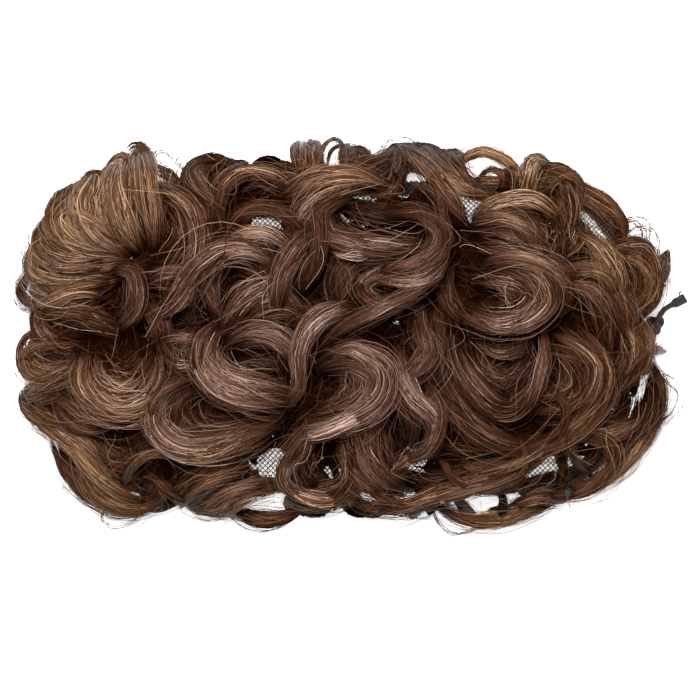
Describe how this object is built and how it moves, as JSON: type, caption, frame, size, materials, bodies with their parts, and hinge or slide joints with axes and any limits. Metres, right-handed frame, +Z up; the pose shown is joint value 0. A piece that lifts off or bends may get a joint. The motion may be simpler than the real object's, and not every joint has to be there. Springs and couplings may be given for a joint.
{
  "type": "top knot hairpiece",
  "caption": "Wide comb-in hairpiece of loose curls on a dished net with a hem, inner combs and an elastic drawstring, lying on its open side.",
  "frame": {"origin": "centre of the footprint, on the table that the piece lies on", "axes": "+X along the length, to the right in the picture; +Y across the depth, up in the picture; +Z up from the table through the crown of the curls"},
  "size_m": [0.2568, 0.152, 0.06],
  "materials": {
    "brown_hair": "glossy curled synthetic hair, chestnut brown with lighter and darker strands",
    "net": "open diamond net of dark brown thread",
    "elastic_hem": "ruched dark woven binding",
    "comb_plastic": "dark brown moulded plastic",
    "elastic_cord": "black braided elastic"
  },
  "bodies": {
    "root": {"curled_hair": "brown_hair", "net_base": "net", "hem_band": "elastic_hem", "comb_left": "comb_plastic", "comb_right": "comb_plastic", "drawstring": "elastic_cord", "drawstring_knot": "elastic_cord", "drawstring_tail": "elastic_cord"}
  },
  "joints": []
}
